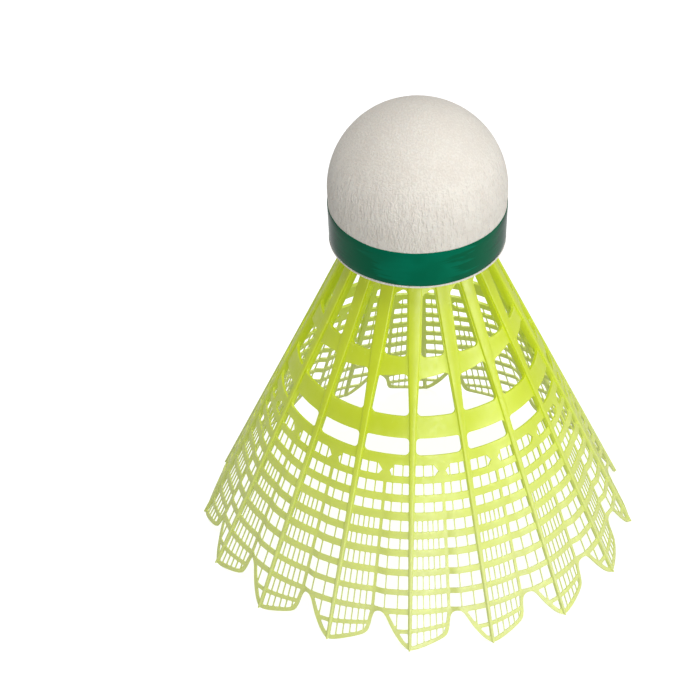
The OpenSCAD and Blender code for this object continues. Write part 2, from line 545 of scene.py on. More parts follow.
@dataclass(frozen=True)
class LeatherFinish:
    """Pale wrinkled skin, stretched over the head and smooth at its nose, with painted shade in its
    wrinkle grooves.

    Scales count cells to the metre, and heights are in metres up from the tips.
    """

    pale: Colour = linear(236, 231, 221)
    dull: Colour = linear(233, 227, 217)
    # Painted shade colour for the wrinkle grooves
    crease_painted_shade: Colour = linear(190, 178, 166)
    roughness: float = 0.62
    specular: float = 0.35
    index: float = 1.45
    sheen: float = 0.12
    sheen_roughness: float = 0.5
    glow: float = 0.08
    glow_colour: Colour = (1.0, 0.7, 0.5)
    glow_reach: float = 0.0006
    grain: float = 2600.0
    wear: float = 0.25
    streaks: float = 1900.0
    pebbles: float = 3200.0
    folds: float = 620.0
    smooth_above: float = 0.0725
    wrinkled_below: float = 0.065
    # Strength of the painted shade in the wrinkle grooves
    groove_painted_shade: float = 0.22

    def material(self) -> bpy.types.Material:
        """Build the material.

        Returns:
            The material.
        """
        material, graph, shader = fresh_material("Cover skin")
        place = graph.place()
        grain = GRAIN.use(graph, {"Place": place, "Scale": self.grain})
        wear = WEAR.use(graph, {"Place": place, "Amount": self.wear})
        around = ROUND_AXIS.use(
            graph, {"Place": place, "Radius": 0.0134, "Height scale": 0.3}
        )
        streak = graph.noise(around["Wrapped"], self.streaks, detail=2.0, distortion=0.9)
        pebble = graph.noise(place, self.pebbles, detail=2.0, roughness=0.6)
        low_down = graph.span(around["Height"], self.smooth_above, self.wrinkled_below)
        vertical = graph.math(Op.MULTIPLY, graph.span(streak, 0.36, 0.64), low_down)
        broad = graph.noise(around["Wrapped"], self.folds, detail=2.0, distortion=0.8)
        fold = graph.math(Op.MULTIPLY, broad, low_down)
        streak_share, pebble_share = 0.6, 0.35
        height = graph.math(
            Op.ADD,
            graph.math(Op.MULTIPLY, vertical, streak_share),
            graph.math(Op.MULTIPLY, graph.span(pebble, 0.3, 0.7), pebble_share),
        )
        tone = graph.mix(grain["Cloud"], self.pale, self.dull)
        # Painted shade: darker where the wrinkle height is low
        groove_painted_shade = graph.span(height, 0.4, 0.05, 0.0, self.groove_painted_shade)
        tone = graph.mix(groove_painted_shade, tone, self.crease_painted_shade)
        tone = graph.mix(wear["Mask"], tone, self.dull)
        rough = graph.span(height, 0.0, 0.8, self.roughness + 0.15, self.roughness - 0.05)
        normal = graph.bump(height, 1.0, 0.13)
        normal = graph.bump(fold, 0.4, 0.16, normal)
        normal = graph.bump(grain["Height"], 0.5, 0.03, normal)
        graph.feed(
            shader,
            {
                "Base Color": tone,
                "Roughness": rough,
                "Normal": normal,
                "IOR": self.index,
                "Specular IOR Level": self.specular,
                "Sheen Weight": self.sheen,
                "Sheen Roughness": self.sheen_roughness,
                "Subsurface Weight": self.glow,
                "Subsurface Radius": self.glow_colour,
                "Subsurface Scale": self.glow_reach,
            },
        )
        return material


@dataclass(frozen=True)
class TapeFinish:
    """Glossy green tape with fine draw lines along it, and painted shade where it turns away from
    the camera.

    Scales count cells to the metre.
    """

    green: Colour = linear(0, 112, 83)
    dark: Colour = linear(0, 100, 71)
    rubbed: Colour = linear(30, 126, 98)
    # Painted shade colours, for where the band turns away from the camera
    turned: Colour = linear(0, 92, 62)
    rim: Colour = linear(0, 62, 44)
    roughness: float = 0.12
    specular: float = 0.16
    shine: tuple[float, ...] = (0.05, 0.9, 0.6, 1.0)
    index: float = 1.5
    grain: float = 2000.0
    wear: float = 0.12
    radius: float = 0.0132
    lines: float = 150.0
    waves: float = 190.0
    # Jag of the painted shade's edge
    painted_shade_jag: float = 0.09

    def material(self) -> bpy.types.Material:
        """Build the material.

        Returns:
            The material.
        """
        material, graph, shader = fresh_material("Band tape")
        place = graph.place()
        grain = GRAIN.use(graph, {"Place": place, "Scale": self.grain})
        wear = WEAR.use(graph, {"Place": place, "Amount": self.wear})
        lines = ROUND_AXIS.use(
            graph, {"Place": place, "Radius": self.radius, "Height scale": 9.0}
        )
        ripple = ROUND_AXIS.use(
            graph, {"Place": place, "Radius": self.radius, "Height scale": 0.5}
        )
        draw = graph.noise(lines["Wrapped"], self.lines, detail=4.0, roughness=0.6)
        wave = graph.noise(ripple["Wrapped"], self.waves, detail=1.0)
        tone = graph.mix(grain["Cloud"], self.green, self.dark)
        tone = graph.mix(graph.span(draw, 0.35, 0.65, 0.0, 0.25), tone, self.dark)
        # Painted shade: darker as the surface turns from the camera, its edge made ragged by the
        # draw lines
        facing = graph.add("ShaderNodeLayerWeight", {"Blend": 0.5}).outputs["Facing"]
        shift = graph.span(draw, 0.3, 0.7, -self.painted_shade_jag, self.painted_shade_jag)
        painted_shade_facing = graph.math(Op.ADD, facing, shift)
        tone = graph.mix(graph.span(painted_shade_facing, 0.3, 0.38), tone, self.turned)
        tone = graph.mix(graph.span(painted_shade_facing, 0.5, 0.85), tone, self.rim)
        tone = graph.mix(wear["Mask"], tone, self.rubbed)
        rough = graph.span(draw, 0.3, 0.7, self.roughness - 0.03, self.roughness + 0.06)
        normal = graph.bump(draw, 0.25, 0.03)
        normal = graph.bump(wave, 0.5, 0.25, normal)
        graph.feed(
            shader,
            {
                "Base Color": tone,
                "Roughness": rough,
                "Normal": normal,
                "IOR": self.index,
                "Specular IOR Level": self.specular,
                "Specular Tint": self.shine,
            },
        )
        return material


@dataclass(frozen=True)
class CorkFinish:
    """Pressed cork granules."""

    pale: Colour = linear(204, 160, 110)
    brown: Colour = linear(150, 104, 62)
    dark: Colour = linear(84, 52, 30)
    specular: float = 0.25
    granule: float = 900.0
    grain: float = 3000.0
    wear: float = 0.2

    def material(self) -> bpy.types.Material:
        """Build the material.

        Returns:
            The material.
        """
        material, graph, shader = fresh_material("Cork")
        place = graph.place()
        grain = GRAIN.use(graph, {"Place": place, "Scale": self.grain})
        wear = WEAR.use(graph, {"Place": place, "Amount": self.wear})
        lumps = graph.add(
            "ShaderNodeTexVoronoi", {"Vector": place, "Scale": self.granule}
        ).outputs
        seams = graph.add(
            "ShaderNodeTexVoronoi",
            {"Vector": place, "Scale": self.granule},
            {"feature": "DISTANCE_TO_EDGE"},
        ).outputs["Distance"]
        shade = graph.add("ShaderNodeSeparateColor", {0: lumps["Color"]}).outputs[0]
        tone = graph.mix(graph.span(shade, 0.1, 0.9), self.pale, self.brown)
        tone = graph.mix(graph.span(shade, 0.9, 0.97), tone, self.dark)
        tone = graph.mix(graph.span(seams, 0.12, 0.0, 0.0, 0.6), tone, self.dark)
        tone = graph.mix(wear["Mask"], tone, self.pale)
        rough = graph.span(grain["Mask"], 0.0, 1.0, 0.78, 0.92)
        normal = graph.bump(graph.span(seams, 0.0, 0.2), 0.6, 0.12)
        normal = graph.bump(grain["Height"], 0.3, 0.04, normal)
        graph.feed(
            shader,
            {
                "Base Color": tone,
                "Roughness": rough,
                "Normal": normal,
                "Specular IOR Level": self.specular,
            },
        )
        return material


@dataclass(frozen=True)
class GlueFinish:
    """Set amber adhesive with fine bubbles."""

    amber: Colour = linear(214, 186, 122)
    dark: Colour = linear(176, 140, 76)
    index: float = 1.5
    glow: float = 0.3
    glow_reach: float = 0.001
    grain: float = 1200.0
    bubbles: float = 1600.0

    def material(self) -> bpy.types.Material:
        """Build the material.

        Returns:
            The material.
        """
        material, graph, shader = fresh_material("Adhesive")
        place = graph.place()
        grain = GRAIN.use(graph, {"Place": place, "Scale": self.grain})
        bubbles = graph.add(
            "ShaderNodeTexVoronoi", {"Vector": place, "Scale": self.bubbles}
        ).outputs["Distance"]
        tone = graph.mix(grain["Cloud"], self.amber, self.dark)
        tone = graph.mix(graph.span(bubbles, 0.25, 0.1, 0.0, 0.5), tone, self.dark)
        rough = graph.span(grain["Mask"], 0.0, 1.0, 0.2, 0.34)
        normal = graph.bump(graph.span(bubbles, 0.05, 0.3), 0.4, 0.08)
        graph.feed(
            shader,
            {
                "Base Color": tone,
                "Roughness": rough,
                "Normal": normal,
                "IOR": self.index,
                "Subsurface Weight": self.glow,
                "Subsurface Scale": self.glow_reach,
            },
        )
        return material


@dataclass(frozen=True)
class FloorFinish:
    """Plain pale studio floor, which glows white to the camera and lights little else."""

    white: Colour = linear(180, 180, 180)
    shade: Colour = linear(176, 176, 176)
    pale: Colour = linear(252, 252, 252)
    glow: float = 0.85
    spill: float = 0.2
    roughness: float = 0.8
    specular: float = 0.1
    grain: float = 300.0

    def material(self) -> bpy.types.Material:
        """Build the material.

        Returns:
            The material.
        """
        material, graph, shader = fresh_material("Studio floor")
        grain = GRAIN.use(graph, {"Place": graph.place(), "Scale": self.grain})
        tone = graph.mix(grain["Cloud"], self.white, self.shade)
        seen = graph.add("ShaderNodeLightPath").outputs["Is Camera Ray"]
        graph.feed(
            shader,
            {
                "Base Color": tone,
                "Roughness": self.roughness,
                "Specular IOR Level": self.specular,
                "Emission Color": Graph.rgba(self.pale),
                "Emission Strength": graph.span(seen, 0.0, 1.0, self.spill, self.glow),
            },
        )
        return material


# ---------------------------------------------------------------------------------------
# Meshes
# ---------------------------------------------------------------------------------------


def mesh_object(
    name: str, points: Iterable[Iterable[float]], faces: Iterable[Iterable[int]]
) -> bpy.types.Object:
    """Make a mesh object from points in millimetres.

    Args:
        name: The object's name.
        points: Its points, in millimetres.
        faces: Its faces.

    Returns:
        The object, linked to the scene.
    """
    mesh = bpy.data.meshes.new(name)
    mesh.from_pydata([tuple(float(c) * MM for c in p) for p in points], [], faces)
    mesh.validate()
    made = bpy.data.objects.new(name, mesh)
    bpy.context.scene.collection.objects.link(made)
    return made


def face_outward(made: bpy.types.Object) -> None:
    """Turn a closed mesh's faces to look outward.

    Args:
        made: The mesh object.
    """
    work = bmesh.new()
    work.from_mesh(made.data)
    bmesh.ops.recalc_face_normals(work, faces=work.faces)
    work.to_mesh(made.data)
    work.free()


def soften(made: bpy.types.Object, sharp_degrees: float) -> None:
    """Shade a mesh smooth, but for edges sharper than an angle."""
    made.data.shade_smooth()
    made.data.set_sharp_from_angle(angle=math.radians(sharp_degrees))


def dress(made: bpy.types.Object, material: bpy.types.Material) -> None:
    """Give an object one material."""
    made.data.materials.clear()
    made.data.materials.append(material)


def apply_modifiers(made: bpy.types.Object) -> None:
    """Replace an object's mesh with the result of its modifiers.

    Args:
        made: The mesh object.
    """
    graph = bpy.context.evaluated_depsgraph_get()
    result = bpy.data.meshes.new_from_object(made.evaluated_get(graph))
    made.modifiers.clear()
    made.data = result


def fuse(base: bpy.types.Object, others: list[bpy.types.Object]) -> None:
    """Unite closed meshes into the first one.

    Args:
        base: The mesh that takes the others in.
        others: The meshes that it takes, which are then removed.
    """
    for other in others:
        step = base.modifiers.new("Fuse", "BOOLEAN")
        step.operation = "UNION"
        step.solver = "MANIFOLD"
        step.object = other
    apply_modifiers(base)
    for other in others:
        bpy.data.objects.remove(other)


def lathe(profile: list[Point], segments: int) -> tuple[list, list]:
    """Turn a closed half section round the axis.

    Args:
        profile: Points of the section in order, as radius and height. A point on the
            axis becomes a pole.
        segments: Steps round the axis.

    Returns:
        The points and faces.
    """
    points: list[tuple[float, float, float]] = []
    rings: list[list[int]] = []
    for radius, height in profile:
        if radius == 0.0:
            points.append((0.0, 0.0, height))
            rings.append([len(points) - 1] * segments)
            continue
        start = len(points)
        for step in range(segments):
            turn = TURN * step / segments
            points.append((radius * math.cos(turn), radius * math.sin(turn), height))
        rings.append(list(range(start, start + segments)))
    faces = []
    for ring, after in zip(rings, rings[1:] + rings[:1]):
        for step in range(segments):
            following = (step + 1) % segments
            corners = [ring[step], ring[following], after[following], after[step]]
            face = list(dict.fromkeys(corners))
            if len(face) > 2:
                faces.append(face)
    return points, faces


def arc(centre: Point, radius: float, start: float, end: float, steps: int) -> list[Point]:
    """Give points along an arc.

    Args:
        centre: Its centre.
        radius: Its radius.
        start: First angle, in degrees.
        end: Last angle, in degrees.
        steps: Number of steps.

    Returns:
        The points, both ends included.
    """
    turns = [math.radians(start + (end - start) * k / steps) for k in range(steps + 1)]
    return [(centre[0] + radius * math.cos(t), centre[1] + radius * math.sin(t)) for t in turns]


# ---------------------------------------------------------------------------------------
# Skirt
# ---------------------------------------------------------------------------------------


@dataclass(frozen=True)
class Cone:
    """The cone that the quills' outer edges lie on."""

    rim: float
    root: float
    height: float
    quills: int = 16
    first_turn: float = -math.pi / 2.0

    @property
    def lean(self) -> float:
        """Angle between a quill and the axis."""
        return math.atan((self.rim - self.root) / self.height)

    @property
    def slope(self) -> float:
        """Length of a quill's line from its tip to the apex."""
        return self.rim / math.sin(self.lean)

    @property
    def sector(self) -> float:
        """Angle between two quills."""
        return TURN / self.quills

    def width(self, level: float) -> float:
        """Width of a sector at a level up the slope."""
        return self.rim * self.sector * (1.0 - level / self.slope)

    def at(self, turn: float, level: float, depth: float, ceiling: float) -> tuple:
        """Give a point of the skirt.

        Args:
            turn: Angle round the axis.
            level: Distance up the slope from the tips.
            depth: Distance in from the quills' outer edges.
            ceiling: Height that nothing passes.

        Returns:
            The point.
        """
        radius = self.rim - level * math.sin(self.lean) - depth * math.cos(self.lean)
        height = level * math.cos(self.lean) - depth * math.sin(self.lean)
        height = min(ceiling, max(0.0, height))
        return (radius * math.cos(turn), radius * math.sin(turn), height)


@dataclass
class Cell:
    """A convex opening: its corners, and whether the edge after each is a thin filament."""

    corners: list[Point]
    thin: list[bool]

    def clip(self, start: Point, end: Point) -> "Cell":
        """Cut the cell along a line.

        Args:
            start: A point of the line.
            end: A later point of the line. What is to its left stays.

        Returns:
            The part that stays.
        """
        corners: list[Point] = []
        thin: list[bool] = []
        sides = [self.side(start, end, p) for p in self.corners]
        count = len(self.corners)
        for k in range(count):
            after = (k + 1) % count
            if sides[k] >= 0.0:
                corners.append(self.corners[k])
                thin.append(self.thin[k])
            if (sides[k] >= 0.0) != (sides[after] >= 0.0):
                share = sides[k] / (sides[k] - sides[after])
                here, there = self.corners[k], self.corners[after]
                corners.append(
                    (here[0] + (there[0] - here[0]) * share, here[1] + (there[1] - here[1]) * share)
                )
                thin.append(False if sides[k] >= 0.0 else self.thin[k])
        return Cell(corners, thin)

    @staticmethod
    def side(start: Point, end: Point, point: Point) -> float:
        """Tell how far left of a line a point is, times the line's length."""
        along = (end[0] - start[0], end[1] - start[1])
        return along[0] * (point[1] - start[1]) - along[1] * (point[0] - start[0])

    def area(self) -> float:
        """Give the cell's area."""
        following = self.corners[1:] + self.corners[:1]
        return 0.5 * sum(a[0] * b[1] - b[0] * a[1] for a, b in zip(self.corners, following))

    def rounded(self, radius: float, steps: int, longest: float) -> list[tuple[Point, float]]:
        """Round the corners.

        Args:
            radius: Corner radius where the edges have room for it.
            steps: Steps round a corner.
            longest: Length above which a straight edge is divided.

        Returns:
            The outline's points, each with its share of thin filament.
        """
        room = 0.42
        result: list[tuple[Point, float]] = []
        count = len(self.corners)
        for k in range(count):
            corner = Vector(self.corners[k])
            before = Vector(self.corners[k - 1]) - corner
            after = Vector(self.corners[(k + 1) % count]) - corner
            if min(before.length, after.length) < TINY:
                continue
            half = before.angle(after) / 2.0
            reach = min(radius / math.tan(half), room * min(before.length, after.length))
            start = corner + before.normalized() * reach
            end = corner + after.normalized() * reach
            centre = corner + (before.normalized() + after.normalized()).normalized() * (
                reach / math.cos(half)
            )
            own = reach * math.tan(half)
            from_thin, to_thin = float(self.thin[k - 1]), float(self.thin[k])
            for step in range(steps + 1):
                share = step / steps
                spoke = (start - centre).lerp(end - centre, share).normalized()
                point = centre + spoke * own
                result.append(((point.x, point.y), from_thin + (to_thin - from_thin) * share))
        return self.divided(result, longest)

    @staticmethod
    def divided(outline: list[tuple[Point, float]], longest: float) -> list:
        """Divide an outline's long edges that run across the sector.

        Args:
            outline: The outline's points and their shares.
            longest: Longest edge to leave whole.

        Returns:
            The divided outline.
        """
        result = []
        for (here, mark), (there, next_mark) in zip(outline, outline[1:] + outline[:1]):
            parts = max(1, math.ceil(abs(there[0] - here[0]) / longest))
            for part in range(parts):
                share = part / parts
                point = (
                    here[0] + (there[0] - here[0]) * share,
                    here[1] + (there[1] - here[1]) * share,
                )
                result.append((point, mark + (next_mark - mark) * share))
        return result


@dataclass
class Lattice:
    """The pattern of openings in one sector, between two quills.

    A point is given across, from the middle of the sector, and up the slope. Seen from
    outside, across grows to the right.
    """

    cone: Cone
    # The three rows of windows in the stem: low edge, top edge, and the top's fall to the left
    windows: tuple[tuple[float, float, float], ...] = (
        (45.35, 56.1, 1.4),
        (36.3, 42.85, 0.8),
        (30.3, 32.95, 0.0),
    )
    window_corner: float = 0.65
    window_corner_steps: int = 4
    # Rows of cells: low edge and top edge, down to the ring above the valleys
    rows: tuple[tuple[float, float], ...] = (
        (27.01, 28.78),
        (24.18, 25.97),
        (21.50, 23.03),
        (18.48, 20.21),
        (15.72, 17.38),
        (12.65, 14.65),
        (9.5, 11.65),
        (6.5, 8.65),
    )
    # The last two rows, inside the feather's end
    end_rows: tuple[tuple[float, float], ...] = ((3.3, 5.65), (-1.0, 2.7))
    # How much each of their low and top edges rises from the left quill to the vein
    end_tilts: tuple[tuple[float, float], ...] = ((0.85, 0.1), (0.0, 0.85))
    cell_corner: float = 0.15
    cell_corner_steps: int = 2
    coarse_rows: int = 3
    filaments_above: tuple[float, ...] = (0.2, 0.365)
    filaments_dense: tuple[float, ...] = (0.09, 0.171, 0.254, 0.332, 0.412)
    filaments_wide: tuple[float, ...] = (0.667, 0.835)
    filament: float = 0.16
    vein_top: float = 0.53
    vein_low: float = 0.5
    vein: float = 0.46
    tooth_half: float = 1.25
    tooth_knee: tuple[float, float] = (0.55, 0.45)
    quill_widths: tuple[tuple[float, float], ...] = (
        (0.0, 0.44),
        (9.0, 0.58),
        (15.0, 0.7),
        (20.0, 0.77),
        (28.8, 0.9),
        (33.0, 0.98),
        (37.0, 1.1),
        (42.0, 1.45),
        (46.0, 1.8),
        (58.04, 2.2),
    )
    webs: tuple[tuple[float, float], ...] = (
        (0.0, 0.05),
        (33.0, 0.06),
        (37.0, 0.08),
        (43.0, 0.15),
        (46.0, 0.24),
        (58.04, 0.1),
    )
    border: float = 0.56
    least_area: float = 0.1
    longest_edge: float = 1.1
    # The feathers' ends from the right tip to the left one: from the left tip, and up
    ends: tuple[Point, ...] = (
        (12.88, 0.0),
        (11.6, 1.1),
        (10.3, 2.75),
        (9.4, 4.2),
        (8.75, 5.3),
        (8.15, 5.85),
        (7.45, 5.85),
        (6.9, 5.45),
        (6.6, 4.6),
        (6.35, 3.2),
        (5.9, 2.2),
        (4.75, 1.55),
        (1.84, 0.5),
        (0.0, 0.0),
    )
    curve_steps: int = 4
    skirt_top: float = 58.3
    seam_steps: int = 24
    # Pairs of levels on the plain rings that get points of their own, and how many columns
    ring_levels: tuple[tuple[float, float], ...] = (
        (57.3, 57.3),
        (44.0, 44.7),
        (34.4, 35.6),
        (29.6, 29.8),
    )
    ring_columns: int = 12
    near: float = 1e-4

    def quill_width(self, level: float) -> float:
        """Width of a quill at a level up the slope."""
        levels, widths = zip(*self.quill_widths)
        return float(np.interp(level, levels, widths))

    def vein_share(self, level: float) -> float:
        """Where the vein runs across the sector, from 0 to 1, at a level."""
        top = self.rows[0][1]
        return self.vein_low + (self.vein_top - self.vein_low) * smooth_step(level / top)

    def across(self, share: float, level: float) -> float:
        """Turn a share of the sector's width into a distance from its middle."""
        return (share - 0.5) * self.cone.width(level)

    def left_edge(self, level: float) -> float:
        """Tell where the openings start beside the left quill.

        Args:
            level: Distance up the slope.

        Returns:
            Distance across from the middle of the sector.
        """
        levels, webs = zip(*self.webs)
        web = float(np.interp(level, levels, webs))
        return self.across(0.0, level) + self.quill_width(level) / 2.0 + web

    def right_edge(self, level: float) -> float:
        """Tell where the openings end beside the right quill."""
        return -self.left_edge(level)

    def strip(
        self,
        low: tuple[float, float],
        top: tuple[float, float],
        left: Callable[[float], float],
        right: Callable[[float], float],
        thin: tuple[bool, bool],
    ) -> Cell:
        """Make the opening between two upright lines.

        Args:
            low: Level of the low edge, at its left and its right end.
            top: Level of the top edge, at its left and its right end.
            left: The left line, as distance across at a level.
            right: The right line.
            thin: Whether the left and the right line are filaments.

        Returns:
            The opening, counter-clockwise from its low left corner.
        """
        corners = [
            (left(low[0]), low[0]),
            (right(low[1]), low[1]),
            (right(top[1]), top[1]),
            (left(top[0]), top[0]),
        ]
        return Cell(corners, [False, thin[1], False, thin[0]])

    def filament_line(self, share: float, side: int) -> Callable[[float], float]:
        """Give the line of one side of a filament.

        Args:
            share: Where the filament runs across the sector.
            side: -1 for its left side and 1 for its right.

        Returns:
            Distance across at a level.
        """
        return lambda level: self.across(share, level) + side * self.filament / 2.0

    def vein_line(self, side: int) -> Callable[[float], float]:
        """Give the line of one side of the vein, -1 for its left and 1 for its right."""
        return lambda level: (
            self.across(self.vein_share(level), level) + side * self.vein / 2.0
        )

    def half_row(
        self,
        level: tuple[float, float],
        shares: tuple[float, ...],
        dense: bool,
        tilts: tuple[float, float] = (0.0, 0.0),
    ) -> list[Cell]:
        """Make the cells of one row on one side of the vein.

        Args:
            level: The row's low and top edges.
            shares: Where its filaments run.
            dense: Whether it is the side to the left of the vein.
            tilts: How much the low and top edges rise from the left quill to the vein.

        Returns:
            The cells, from left to right.
        """
        left = self.left_edge if dense else self.vein_line(1)
        right = self.vein_line(-1) if dense else self.right_edge
        lines = [(left, False)]
        for share in shares:
            lines.append((self.filament_line(share, -1), True))
            lines.append((self.filament_line(share, 1), True))
        lines.append((right, False))
        half = self.cone.width(0.0) / 2.0
        cells = []
        for k in range(0, len(lines), 2):
            (from_line, from_thin), (to_line, to_thin) = lines[k], lines[k + 1]
            far = [(line(level[1]) + half) / half for line in (from_line, to_line)]
            low = tuple(level[0] + tilts[0] * share for share in far)
            top = tuple(level[1] + tilts[1] * share for share in far)
            cells.append(self.strip(low, top, from_line, to_line, (from_thin, to_thin)))
        return cells

    def beside_tooth(self, cell: Cell) -> Cell:
        """Cut the tooth above the vein out of a cell of the first row.

        Args:
            cell: The cell.

        Returns:
            What is left of it.
        """
        low, top = self.rows[0]
        knee = low + (top - low) * self.tooth_knee[1]
        mid = sum(p[0] for p in cell.corners) / len(cell.corners)
        for side in (-1, 1):
            line = self.vein_line(side)
            foot = (line(low), low)
            bend = (self.across(self.vein_share(knee), knee) + side * self.tooth_knee[0], knee)
            tip = (self.across(self.vein_share(top), top) + side * self.tooth_half, top)
            if side * (mid - line(low)) < 0.0:
                continue
            for start, end in ((foot, bend), (bend, tip)):
                cell = cell.clip(end, start) if side > 0 else cell.clip(start, end)
        return cell

    def end_lines(self, dense: bool) -> list[tuple[Point, Point]]:
        """Give the border's inner lines round one side of a feather's end.

        Args:
            dense: Whether it is the broad side, right of the left quill.

        Returns:
            Pairs of points, with the cells to the left of each line.
        """
        half = self.cone.width(0.0) / 2.0
        outline = [(x - half, y) for x, y in reversed(self.ends)]
        chosen = [outline[0], *outline[2:6]] if dense else outline[-4:]
        lines = []
        for start, end in zip(chosen, chosen[1:]):
            along = Vector(end) - Vector(start)
            inward = Vector((-along.y, along.x)).normalized() * self.border
            first, last = Vector(start) + inward, Vector(end) + inward
            lines.append(((first.x, first.y), (last.x, last.y)))
        return lines

    def cells(self) -> list[Cell]:
        """Make every small cell of the sector.

        Returns:
            The cells.
        """
        made: list[Cell] = []
        for number, level in enumerate(self.rows):
            dense = self.filaments_above if number < self.coarse_rows else self.filaments_dense
            row = self.half_row(level, dense, True)
            row += self.half_row(level, self.filaments_wide, False)
            made += [self.beside_tooth(cell) for cell in row] if number == 0 else row
        for number, level in enumerate(self.end_rows):
            tilts = self.end_tilts[number]
            broad = self.half_row(level, self.filaments_dense, True, tilts)
            narrow_lines = self.filaments_wide[1:] if number == 0 else ()
            narrow = self.half_row(level, narrow_lines, False)
            for side, row in ((True, broad), (False, narrow)):
                for cell in row:
                    for start, end in self.end_lines(side):
                        cell = cell.clip(start, end)
                    made.append(cell)
        return [c for c in made if len(c.corners) > 2 and c.area() > self.least_area]

    def openings(self) -> list[list[tuple[Point, float]]]:
        """Give the rounded outline of every opening.

        Returns:
            For each opening its points, each with its share of thin filament.
        """
        outlines = []
        for low, top, fall in self.windows:
            window = self.strip(
                (low, low), (top - fall, top), self.left_edge, self.right_edge, (False, False)
            )
            outlines.append(
                window.rounded(self.window_corner, self.window_corner_steps, self.longest_edge)
            )
        for cell in self.cells():
            outlines.append(
                cell.rounded(self.cell_corner, self.cell_corner_steps, self.longest_edge)
            )
        return outlines

    def feather_ends(self) -> list[Point]:
        """Give the curve along the feathers' ends, from the right tip to the left one.

        Returns:
            The curve's points.
        """
        half = self.cone.width(0.0) / 2.0
        points = [Vector((x - half, y)) for x, y in self.ends]
        points[0].x, points[-1].x = half, -half
        padded = [points[0]] + points + [points[-1]]
        curve = []
        for k in range(len(points) - 1):
            before, start, end, after = padded[k : k + 4]
            for step in range(self.curve_steps):
                t = step / self.curve_steps
                spot = 0.5 * (
                    2.0 * start
                    + (end - before) * t
                    + (2.0 * before - 5.0 * start + 4.0 * end - after) * t**2
                    + (3.0 * start - before - 3.0 * end + after) * t**3
                )
                curve.append((spot.x, spot.y))
        curve.append((points[-1].x, points[-1].y))
        return curve

    def side_levels(self) -> list[float]:
        """Levels at which neighbouring sectors share their points."""
        steps = self.seam_steps
        return [self.skirt_top * k / steps for k in range(1, steps + 1)]

    def on_seam(self, point: Point) -> bool:
        """Tell whether a point lies on one of the sector's two sides."""
        return abs(abs(point[0]) - self.across(1.0, point[1])) < self.near

    def outline(self) -> list[Point]:
        """Give the sector's outline, counter-clockwise from the left tip.

        Returns:
            The outline's points.
        """
        levels = self.side_levels()
        right = [(self.across(1.0, s), s) for s in levels]
        left = [(self.across(0.0, s), s) for s in reversed(levels)]
        width = right[-1][0] - left[0][0]
        parts = math.ceil(width / self.longest_edge)
        top = [(right[-1][0] - width * k / parts, levels[-1]) for k in range(1, parts)]
        ends = self.feather_ends()
        return ends[:1] + right + top + left + ends[:0:-1]

    def spare_points(self) -> list[Point]:
        """Give points inside the broad rings, which keep the rings round.

        Returns:
            The points.
        """
        shares = [k / self.ring_columns for k in range(1, self.ring_columns)]
        return [
            (self.across(share, level), level)
            for pair in self.ring_levels
            for level in sorted(set(pair))
            for share in shares
        ]


@dataclass
class Root:
    """The turned middle of the skirt: plug, flange and collar."""

    seat: float
    plug_top: float
    plug_radius: float = 4.0
    socket_radius: float = 3.0
    end_thickness: float = 1.1
    barb_rise: float = 0.25
    barb_back: float = 0.06
    barb_edge: float = 0.02
    barb_foot: float = 0.08
    barbs: int = 3
    flange: float = 1.2
    collar: float = 1.8
    bevel: float = 0.12
    segments: int = 128
    rounding: float = 0.3
    corner_steps: int = 4

    def profile(self, cone: Cone, outer: float, inner: float) -> list[Point]:
        """Give the half section.

        Args:
            cone: The cone of the quills.
            outer: Depth of the collar's outside in from the quills.
            inner: Depth of the collar's inside.

        Returns:
            The section's points.
        """
        pitch = (self.plug_top - self.seat) / (self.barbs + 1)
        points = [(0.0, self.plug_top)]
        tip = (self.plug_radius - self.barb_rise - self.rounding, self.plug_top - self.rounding)
        points += arc(tip, self.rounding, 90.0, 0.0, self.corner_steps)
        for barb in range(self.barbs, 0, -1):
            level = self.seat + barb * pitch
            points.append((self.plug_radius, level + self.barb_rise))
            points.append((self.plug_radius + self.barb_rise, level + self.barb_back))
            points.append((self.plug_radius + self.barb_rise, level - self.barb_edge))
            points.append((self.plug_radius, level - self.barb_foot))
        points.append((self.plug_radius, self.seat))
        points.append((self.on(cone, self.seat, outer), self.seat))
        low = self.seat - self.collar
        wall = inner - outer
        points.append((self.on(cone, low + wall / 2.0, outer), low + wall / 2.0))
        points.append((self.on(cone, low, outer) - self.bevel, low))
        points.append((self.on(cone, low, inner) + self.bevel, low))
        points.append((self.on(cone, low + wall / 2.0, inner), low + wall / 2.0))
        under = self.seat - self.flange
        points += [(self.on(cone, under, inner), under)]
        points += arc(
            (self.socket_radius + self.rounding, under + self.rounding),
            self.rounding,
            270.0,
            180.0,
            self.corner_steps,
        )
        blind = self.plug_top - self.end_thickness
        points += arc(
            (self.socket_radius - self.rounding, blind - self.rounding),
            self.rounding,
            0.0,
            90.0,
            self.corner_steps,
        )
        points.append((0.0, blind))
        return points

    @staticmethod
    def on(cone: Cone, height: float, depth: float) -> float:
        """Radius of the cone at a height, and a depth in from its surface."""
        return cone.rim - height * math.tan(cone.lean) - depth / math.cos(cone.lean)


